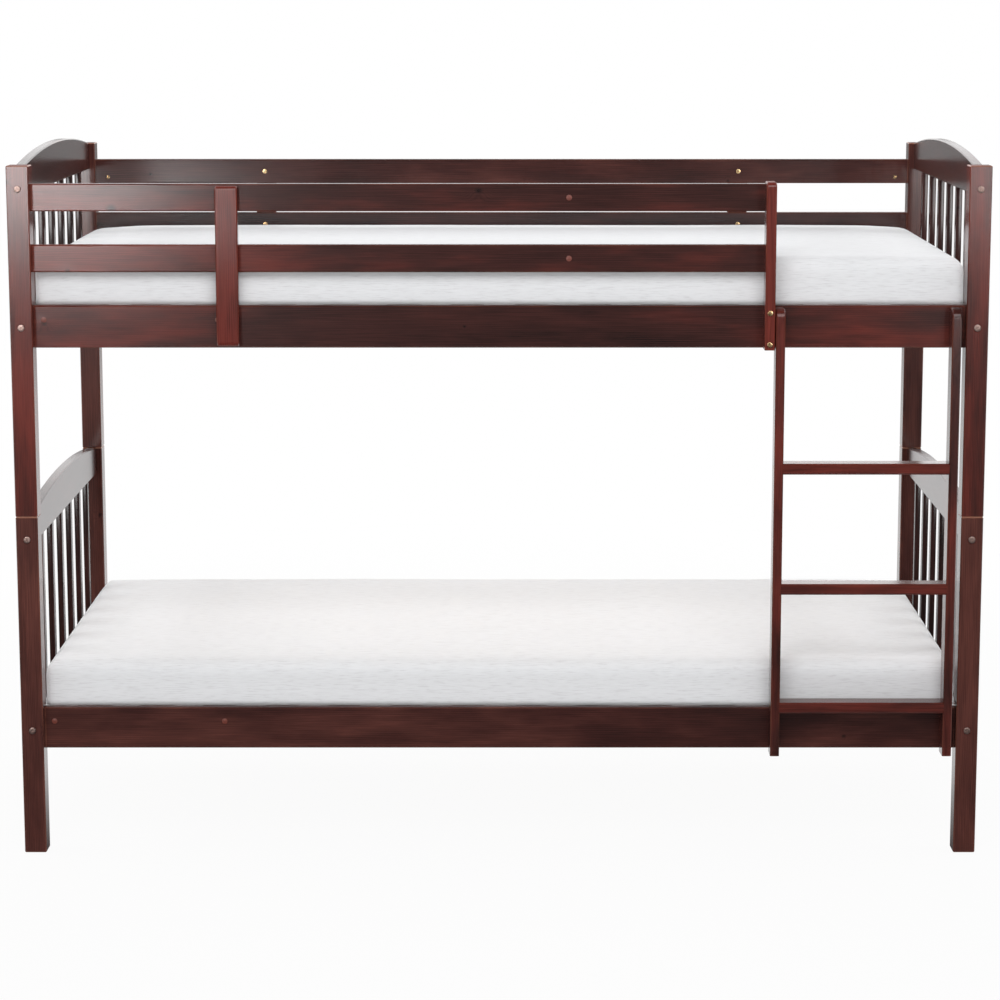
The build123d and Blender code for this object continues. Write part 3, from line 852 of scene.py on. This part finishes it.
def modelNut(size):
    # a barrel nut: a short rod with a screwdriver slot that lines up its cross thread
    nut = rod(size["acrossMm"] / 2, size["sides"])
    roundRim(nut, size["rimMm"])
    bpy.ops.object.select_all(action="DESELECT")
    bpy.ops.mesh.primitive_cube_add(
        size=1,
        scale=(2 * size["acrossMm"] * mm, size["slotMm"] * mm, 2 * size["slotDeepMm"] * mm),
    )
    cutWith(nut, bpy.context.object)
    return nut


def modelPin(size):
    # a plain pin with both ends rounded, or a dowel with its flutes pressed in
    pin = rod(size["acrossMm"] / 2, size["sides"])
    if size["fluteMm"]:
        for number, vert in enumerate(pin.data.vertices):
            if (number // 2) % 2:
                vert.co.xy *= 1 - 2 * size["fluteMm"] / size["acrossMm"]
    for atFoot in (False, True):
        roundRim(pin, size["rimMm"], atFoot)
    return pin


def modelScrew(size):
    # a countersunk head with a cross recess, over a plain shank
    head = rod(size["headMm"] / 2, size["sides"], foot=-size["riseMm"] * mm)
    selectWhere(head, "FACE", lambda spot: spot.z < -near)
    taper = size["shankMm"] / size["headMm"]
    bpy.ops.transform.resize(value=(taper, taper, 1))
    bpy.ops.object.mode_set(mode="OBJECT")
    for long, short in ((size["crossMm"], size["slotMm"]), (size["slotMm"], size["crossMm"])):
        bpy.ops.object.select_all(action="DESELECT")
        bpy.ops.mesh.primitive_cube_add(size=1, scale=(long * mm, short * mm, 2 * size["crossDeepMm"] * mm))
        cutWith(head, bpy.context.object)
    return joined(head, rod(size["shankMm"] / 2, size["shankSides"], top=-size["riseMm"] * mm))


def setFasteners(pattern, facing, sets):
    for node, name in sets.items():
        copies = []
        for points in solidsOf(node):
            low = Vector([min(point[axis] for point in points) for axis in range(3)])
            high = Vector([max(point[axis] for point in points) for axis in range(3)])
            outward = facing(points, low, high)
            reach = abs((high - low).dot(outward))
            mesh = pattern.data.copy()
            for vert in mesh.vertices:
                if vert.co.z < -0.5:
                    vert.co.z += 1 - reach
            turn = outward.to_track_quat("Z", "Y").to_matrix().to_4x4()
            mesh.transform(Matrix.Translation((low + high) / 2 + outward * reach / 2) @ turn)
            copy = bpy.data.objects.new(name, mesh)
            bpy.context.scene.collection.objects.link(copy)
            copies.append(copy)
        whole = joined(*copies)
        bpy.ops.object.shade_smooth_by_angle(angle=fastenerSmoothUnder)
        keepPiece(whole, name, node)
    bpy.data.objects.remove(pattern)


frameBolt = dict(headMm=15, sides=40, riseMm=2.5, rimMm=0.9, hexMm=5, socketMm=2, shankMm=6, shankSides=20)
trimBolt = dict(headMm=12, sides=40, riseMm=2, rimMm=0.8, hexMm=4, socketMm=1.5, shankMm=6, shankSides=20)
coverPlug = dict(acrossMm=12.4, sides=32, rimMm=0.5, domeMm=0.5, rings=3, middleRings=1.5)
barrelNut = dict(acrossMm=9.9, sides=32, rimMm=0.6, slotMm=1.4, slotDeepMm=1.5)
stackingPin = dict(acrossMm=9.9, sides=32, fluteMm=0, rimMm=1.2)
railDowel = dict(acrossMm=7.9, sides=32, fluteMm=0.3, rimMm=0.8)
cleatScrew = dict(
    headMm=7.8,
    sides=32,
    riseMm=3,
    shankMm=4,
    shankSides=16,
    crossMm=4,
    slotMm=1,
    crossDeepMm=1.4,
)

setFasteners(modelBolt(frameBolt), wideEnd, dict(
    lower_frame_bolts="lower_frame_bolt_set",
    upper_frame_bolts="upper_frame_bolt_set",
))
setFasteners(modelBolt(trimBolt), wideEnd, dict(
    guard_bolts="guard_bolt_set",
    ladder_bolts="ladder_bolt_set",
))
setFasteners(modelPlug(coverPlug), outOfBed, dict(
    lower_cover_plugs="lower_plug_set",
    upper_cover_plugs="upper_plug_set",
))
setFasteners(modelNut(barrelNut), nutFace, dict(
    lower_barrel_nuts="lower_nut_set",
    upper_barrel_nuts="upper_nut_set",
))
setFasteners(modelPin(stackingPin), upwards, dict(stacking_pins="stacking_pin_set"))
setFasteners(modelPin(railDowel), endways, dict(
    lower_rail_dowels="lower_dowel_set",
    upper_rail_dowels="upper_dowel_set",
))
setFasteners(modelScrew(cleatScrew), outOfBed, dict(
    lower_cleat_screws="lower_screw_set",
    upper_cleat_screws="upper_screw_set",
))
print("fasteners set")


# Mattresses: foam blocks in a knitted cover, swollen by a cloth simulation, with a few slack corners

mattressForm = dict(
    fillMm=(6.5, 2.2, -1.5),    # how far the cover stands past the foam, before it swells upwards
    rimMm=(30, 40),     # width and height of the foot that hangs over the rails
    hangMm=(3.5, 1.1),  # how far it hangs out and down
    topRollMm=32,
    topRollSegments=4,
    gridMm=22,          # spacing of the cover's mesh
    pressure=4.0,
    frames=20,
    capMm=5,            # how far a point may rise
    crownMm=180,        # distance from the sides over which the top rises
    flatMm=9,           # height above the slats that stays as it lies
    unevenMm=1.2,       # slow unevenness of the top
    unevenLongMm=260,   # and the length of its waves
    slackMm=70,         # reach of a slack corner
)
cornerSlack = dict(     # drop in millimetres of the corner at that end and side
    lower_mattress={(-1, 1): 4, (1, 1): 4},
    upper_mattress={(-1, 1): 15, (1, 1): 9},
)


def makeMattress(node, name):
    low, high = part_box(node)
    fill = Vector(mattressForm["fillMm"]) * mm
    low, high = low - fill * Vector((1, 1, 0)), high + fill
    bpy.ops.object.select_all(action="DESELECT")
    bpy.ops.mesh.primitive_cube_add(size=1, location=(low + high) / 2, scale=high - low)
    piece = bpy.context.object
    bpy.ops.object.transform_apply(location=True, scale=True)
    selectWhere(piece, "EDGE", lambda spot: spot.z > high.z - near)
    bpy.ops.mesh.bevel(offset=mattressForm["topRollMm"] * mm, segments=mattressForm["topRollSegments"])
    for axis in range(3):
        across = Vector([1 if side == axis else 0 for side in range(3)])
        count = round((high - low)[axis] / (mattressForm["gridMm"] * mm))
        for number in range(1, count):
            bpy.ops.mesh.select_all(action="SELECT")
            spot = low + across * (high - low)[axis] * number / count
            bpy.ops.mesh.bisect(plane_co=spot, plane_no=across)
    bpy.ops.object.mode_set(mode="OBJECT")
    selectWhere(piece, "EDGE", lambda spot: spot.z < low.z + near)
    bpy.ops.mesh.region_to_loop()
    bpy.ops.transform.edge_crease(value=1.0)
    bpy.ops.object.mode_set(mode="OBJECT")
    swell(piece, low, high)
    settle(piece, low, high, cornerSlack[node])
    applyModifier(piece, "SUBSURF", levels=1, render_levels=1)
    bpy.ops.object.shade_smooth()
    keepPiece(piece, name, node)


def swell(piece, low, high):
    rest = [vert.co.copy() for vert in piece.data.vertices]
    under = piece.vertex_groups.new(name="under")
    flat = low.z + mattressForm["flatMm"] * mm
    under.add([number for number, spot in enumerate(rest) if spot.z < flat], 1.0, "REPLACE")
    cloth = addModifier(piece, "CLOTH")
    cloth.settings.vertex_group_mass = "under"
    cloth.settings.use_pressure = True
    cloth.settings.uniform_pressure_force = mattressForm["pressure"]
    cloth.settings.effector_weights.gravity = 0
    scene = bpy.context.scene
    for number in range(1, mattressForm["frames"] + 1):
        scene.frame_set(number)
    swollen = piece.evaluated_get(bpy.context.evaluated_depsgraph_get())
    moved = [vert.co.copy() for vert in swollen.data.vertices]
    piece.modifiers.clear()
    piece.vertex_groups.clear()
    scene.frame_set(1)
    cap = mattressForm["capMm"] * mm
    for vert, start, stop in zip(piece.data.vertices, rest, moved):
        rise = max(-cap, min(cap, stop.z - start.z))    # the panels and rails hold the sides
        inwards = min(start.x - low.x, high.x - start.x, start.y - low.y, high.y - start.y)
        vert.co.z = start.z + rise * min(1, inwards / (mattressForm["crownMm"] * mm))


def settle(piece, low, high, slack):
    # the foam gives at its slack corners, and its top is never quite even
    middle, half = (low + high) / 2, (high - low) / 2
    rimWide, rimHigh = mattressForm["rimMm"]
    hangOut, hangDown = mattressForm["hangMm"]
    for vert in piece.data.vertices:
        sideways = vert.co.y - middle.y
        rim = max(0, 1 + (abs(sideways) - half.y) / (rimWide * mm))
        hang = rim * max(0, 1 - (vert.co.z - low.z) / (rimHigh * mm))
        vert.co.y += math.copysign(hang * hangOut * mm, sideways)
        vert.co.z -= hang * hangDown * mm
        raised = max(0, (vert.co.z - low.z) / (high.z - low.z))
        uneven = noise.noise(vert.co * perMm(mattressForm["unevenLongMm"]))
        vert.co.z += raised * uneven * mattressForm["unevenMm"] * mm
        for (toEnd, toSide), dropMm in slack.items():
            corner = Vector((middle.x + toEnd * half.x, middle.y + toSide * half.y))
            away = (vert.co.xy - corner).length / (mattressForm["slackMm"] * mm)
            vert.co.z -= raised * dropMm * mm * math.exp(-away * away)


makeMattress("lower_mattress", "lower_mattress_cover")
makeMattress("upper_mattress", "upper_mattress_cover")
print("mattresses made")

# Floor, light and camera

studio = dict(
    floorSpan=80,
    floorTone="#cfcfcf",
    floorShown=0.95,        # how far the floor near the bed shows as plain white, over its shadow
    whiteFrom=(1.8, 3.4),   # metres from the middle over which it turns wholly white
    ambient=0.29,           # light from all round
    dimGlow=0.07,           # what gloss sees towards the camera, where a studio is dark
    glowFloor=(-0.6, 0.4),  # metres behind the middle over which the floor's glow comes in
    glowRoom=(0.1, 0.7),    # slope towards the rear over which the room's glow comes in
    wallGlow=0.32,          # and behind the bed, past the lit floor
    ceilingFrom=(0.0, 0.14),    # slope over which the white ceiling behind comes in above that wall
    ceilingGlow=1.7,        # it is lit past white
    litFloor=(5.0, 12.0),   # metres behind the bed over which the floor's light fades
)
lamps = dict(               # some light only what is matt, and the softboxes only show in the lacquer
    leftSoftbox=dict(place=(-2.2, -5.5, 1.8), size=(1.7, 1.7), watts=115, lights="gloss"),
    rightSoftbox=dict(place=(2.6, -5.5, 1.8), size=(1.5, 1.7), watts=68, lights="gloss"),
    frontFill=dict(place=(0.0, -5.5, 1.8), size=(3.4, 1.6), watts=38, lights="matt"),
    frontTop=dict(place=(0.0, -4.2, 4.4), size=(4.4, 2.6), watts=140, lights="matt and gloss"),
    rearTop=dict(place=(0.0, 4.4, 3.5), size=(4.4, 1.6), watts=188, lights="matt"),
    leftEnd=dict(place=(-4.4, 0.2, 3.0), size=(2.6, 2.2), watts=60, lights="matt"),
    rightEnd=dict(place=(4.4, 0.2, 3.0), size=(2.6, 2.2), watts=60, lights="matt"),
)
aimAt = Vector((0, 0, 0.8))

bpy.ops.object.select_all(action="DESELECT")
bpy.ops.mesh.primitive_plane_add(size=studio["floorSpan"])
floor = bpy.context.object
floor.name = "studioFloor"
paper = bpy.data.materials.new("studioPaper")
paper.use_nodes = True
tree = paper.node_tree
tree.nodes.clear()
path = addNode(tree, "ShaderNodeLightPath")
coords = addNode(tree, "ShaderNodeTexCoord")
away = addNode(tree, "ShaderNodeVectorMath", {0: coords.outputs["Object"]}, operation="LENGTH")
seenShare = addNode(tree, "ShaderNodeMapRange", {
    "Value": away.outputs["Value"],
    "From Min": studio["whiteFrom"][0],
    "From Max": studio["whiteFrom"][1],
    "To Min": studio["floorShown"],
    "To Max": 1.0,
}, interpolation_type="SMOOTHSTEP")
floorPlace = addNode(tree, "ShaderNodeSeparateXYZ", {0: coords.outputs["Object"]})
glossShare = addNode(tree, "ShaderNodeMapRange", {
    "Value": floorPlace.outputs[1],
    "From Min": studio["glowFloor"][0],
    "From Max": studio["glowFloor"][1],
    "To Min": studio["dimGlow"],
    "To Max": 1.0,
}, interpolation_type="SMOOTHSTEP")
farShare = addNode(tree, "ShaderNodeMapRange", {
    "Value": floorPlace.outputs[1],
    "From Min": studio["litFloor"][0],
    "From Max": studio["litFloor"][1],
    "To Min": 1.0,
    "To Max": studio["wallGlow"],
}, interpolation_type="SMOOTHSTEP")
mirrorGlow = addNode(tree, "ShaderNodeMath", {
    0: glossShare.outputs[0],
    1: farShare.outputs[0],
}, operation="MULTIPLY")
mirrored = addNode(tree, "ShaderNodeMath", {
    0: path.outputs["Is Glossy Ray"],
    1: path.outputs["Is Transmission Ray"],
}, operation="MAXIMUM")
share = addNode(tree, "ShaderNodeMix", {
    "Factor": path.outputs["Is Camera Ray"],
    "A": mirrored.outputs[0],
    "B": seenShare.outputs[0],
})
glowLevel = addNode(tree, "ShaderNodeMix", {
    "Factor": path.outputs["Is Camera Ray"],
    "A": mirrorGlow.outputs[0],
    "B": 1.0,
})
matt = addNode(tree, "ShaderNodeBsdfDiffuse", {"Color": linear(studio["floorTone"])})
glow = addNode(tree, "ShaderNodeEmission", {"Color": (1, 1, 1, 1), "Strength": glowLevel.outputs[0]})
both = addNode(tree, "ShaderNodeMixShader", {0: share.outputs[0], 1: matt.outputs[0], 2: glow.outputs[0]})
addNode(tree, "ShaderNodeOutputMaterial", {"Surface": both.outputs[0]})
floor.data.materials.append(paper)

world = bpy.data.worlds.new("studioRoom")
bpy.context.scene.world = world
world.use_nodes = True
tree = world.node_tree
tree.nodes.clear()
path = addNode(tree, "ShaderNodeLightPath")
coords = addNode(tree, "ShaderNodeTexCoord")
way = addNode(tree, "ShaderNodeSeparateXYZ", {0: coords.outputs["Generated"]})
rearWall = addNode(tree, "ShaderNodeMapRange", {
    "Value": way.outputs[2],
    "From Min": studio["ceilingFrom"][0],
    "From Max": studio["ceilingFrom"][1],
    "To Min": studio["wallGlow"],
    "To Max": studio["ceilingGlow"],
}, interpolation_type="SMOOTHSTEP")
rearGlow = addNode(tree, "ShaderNodeMapRange", {
    "Value": way.outputs[1],
    "From Min": studio["glowRoom"][0],
    "From Max": studio["glowRoom"][1],
    "To Min": studio["dimGlow"],
    "To Max": rearWall.outputs[0],
}, interpolation_type="SMOOTHSTEP")
mirrored = addNode(tree, "ShaderNodeMath", {
    0: path.outputs["Is Glossy Ray"],
    1: path.outputs["Is Transmission Ray"],
}, operation="MAXIMUM")
bounce = addNode(tree, "ShaderNodeMix", {
    "Factor": mirrored.outputs[0],
    "A": studio["ambient"],
    "B": rearGlow.outputs[0],
})
level = addNode(tree, "ShaderNodeMix", {
    "Factor": path.outputs["Is Camera Ray"],
    "A": bounce.outputs[0],
    "B": 1.0,
})
sky = addNode(tree, "ShaderNodeBackground", {"Color": (1, 1, 1, 1), "Strength": level.outputs[0]})
addNode(tree, "ShaderNodeOutputWorld", {"Surface": sky.outputs[0]})

for name, lamp in lamps.items():
    light = bpy.data.lights.new(name, "AREA")
    light.shape = "RECTANGLE"
    light.size, light.size_y = lamp["size"]
    light.energy = lamp["watts"]
    holder = bpy.data.objects.new(name, light)
    bpy.context.scene.collection.objects.link(holder)
    holder.location = lamp["place"]
    holder.rotation_euler = (aimAt - holder.location).to_track_quat("-Z", "Y").to_euler()
    holder.visible_camera = False
    holder.visible_glossy = "gloss" in lamp["lights"]
    holder.visible_diffuse = "matt" in lamp["lights"]

cameraView = dict(
    x=0.0388,
    standOff=6.4948,
    height=1.8714,
    pitch=9.15,             # degrees below level
    lens=101.04,
    sensor=36,
    shift=(-0.0173, -0.05),
)
camera = bpy.data.objects.new("camera", bpy.data.cameras.new("camera"))
bpy.context.scene.collection.objects.link(camera)
camera.location = (cameraView["x"], -cameraView["standOff"], cameraView["height"])
camera.rotation_euler = (math.radians(90 - cameraView["pitch"]), 0, 0)
camera.data.sensor_width = cameraView["sensor"]
camera.data.lens = cameraView["lens"]
camera.data.shift_x, camera.data.shift_y = cameraView["shift"]
bpy.context.scene.camera = camera
bpy.context.scene.view_settings.view_transform = "Standard"
print("studio ready")
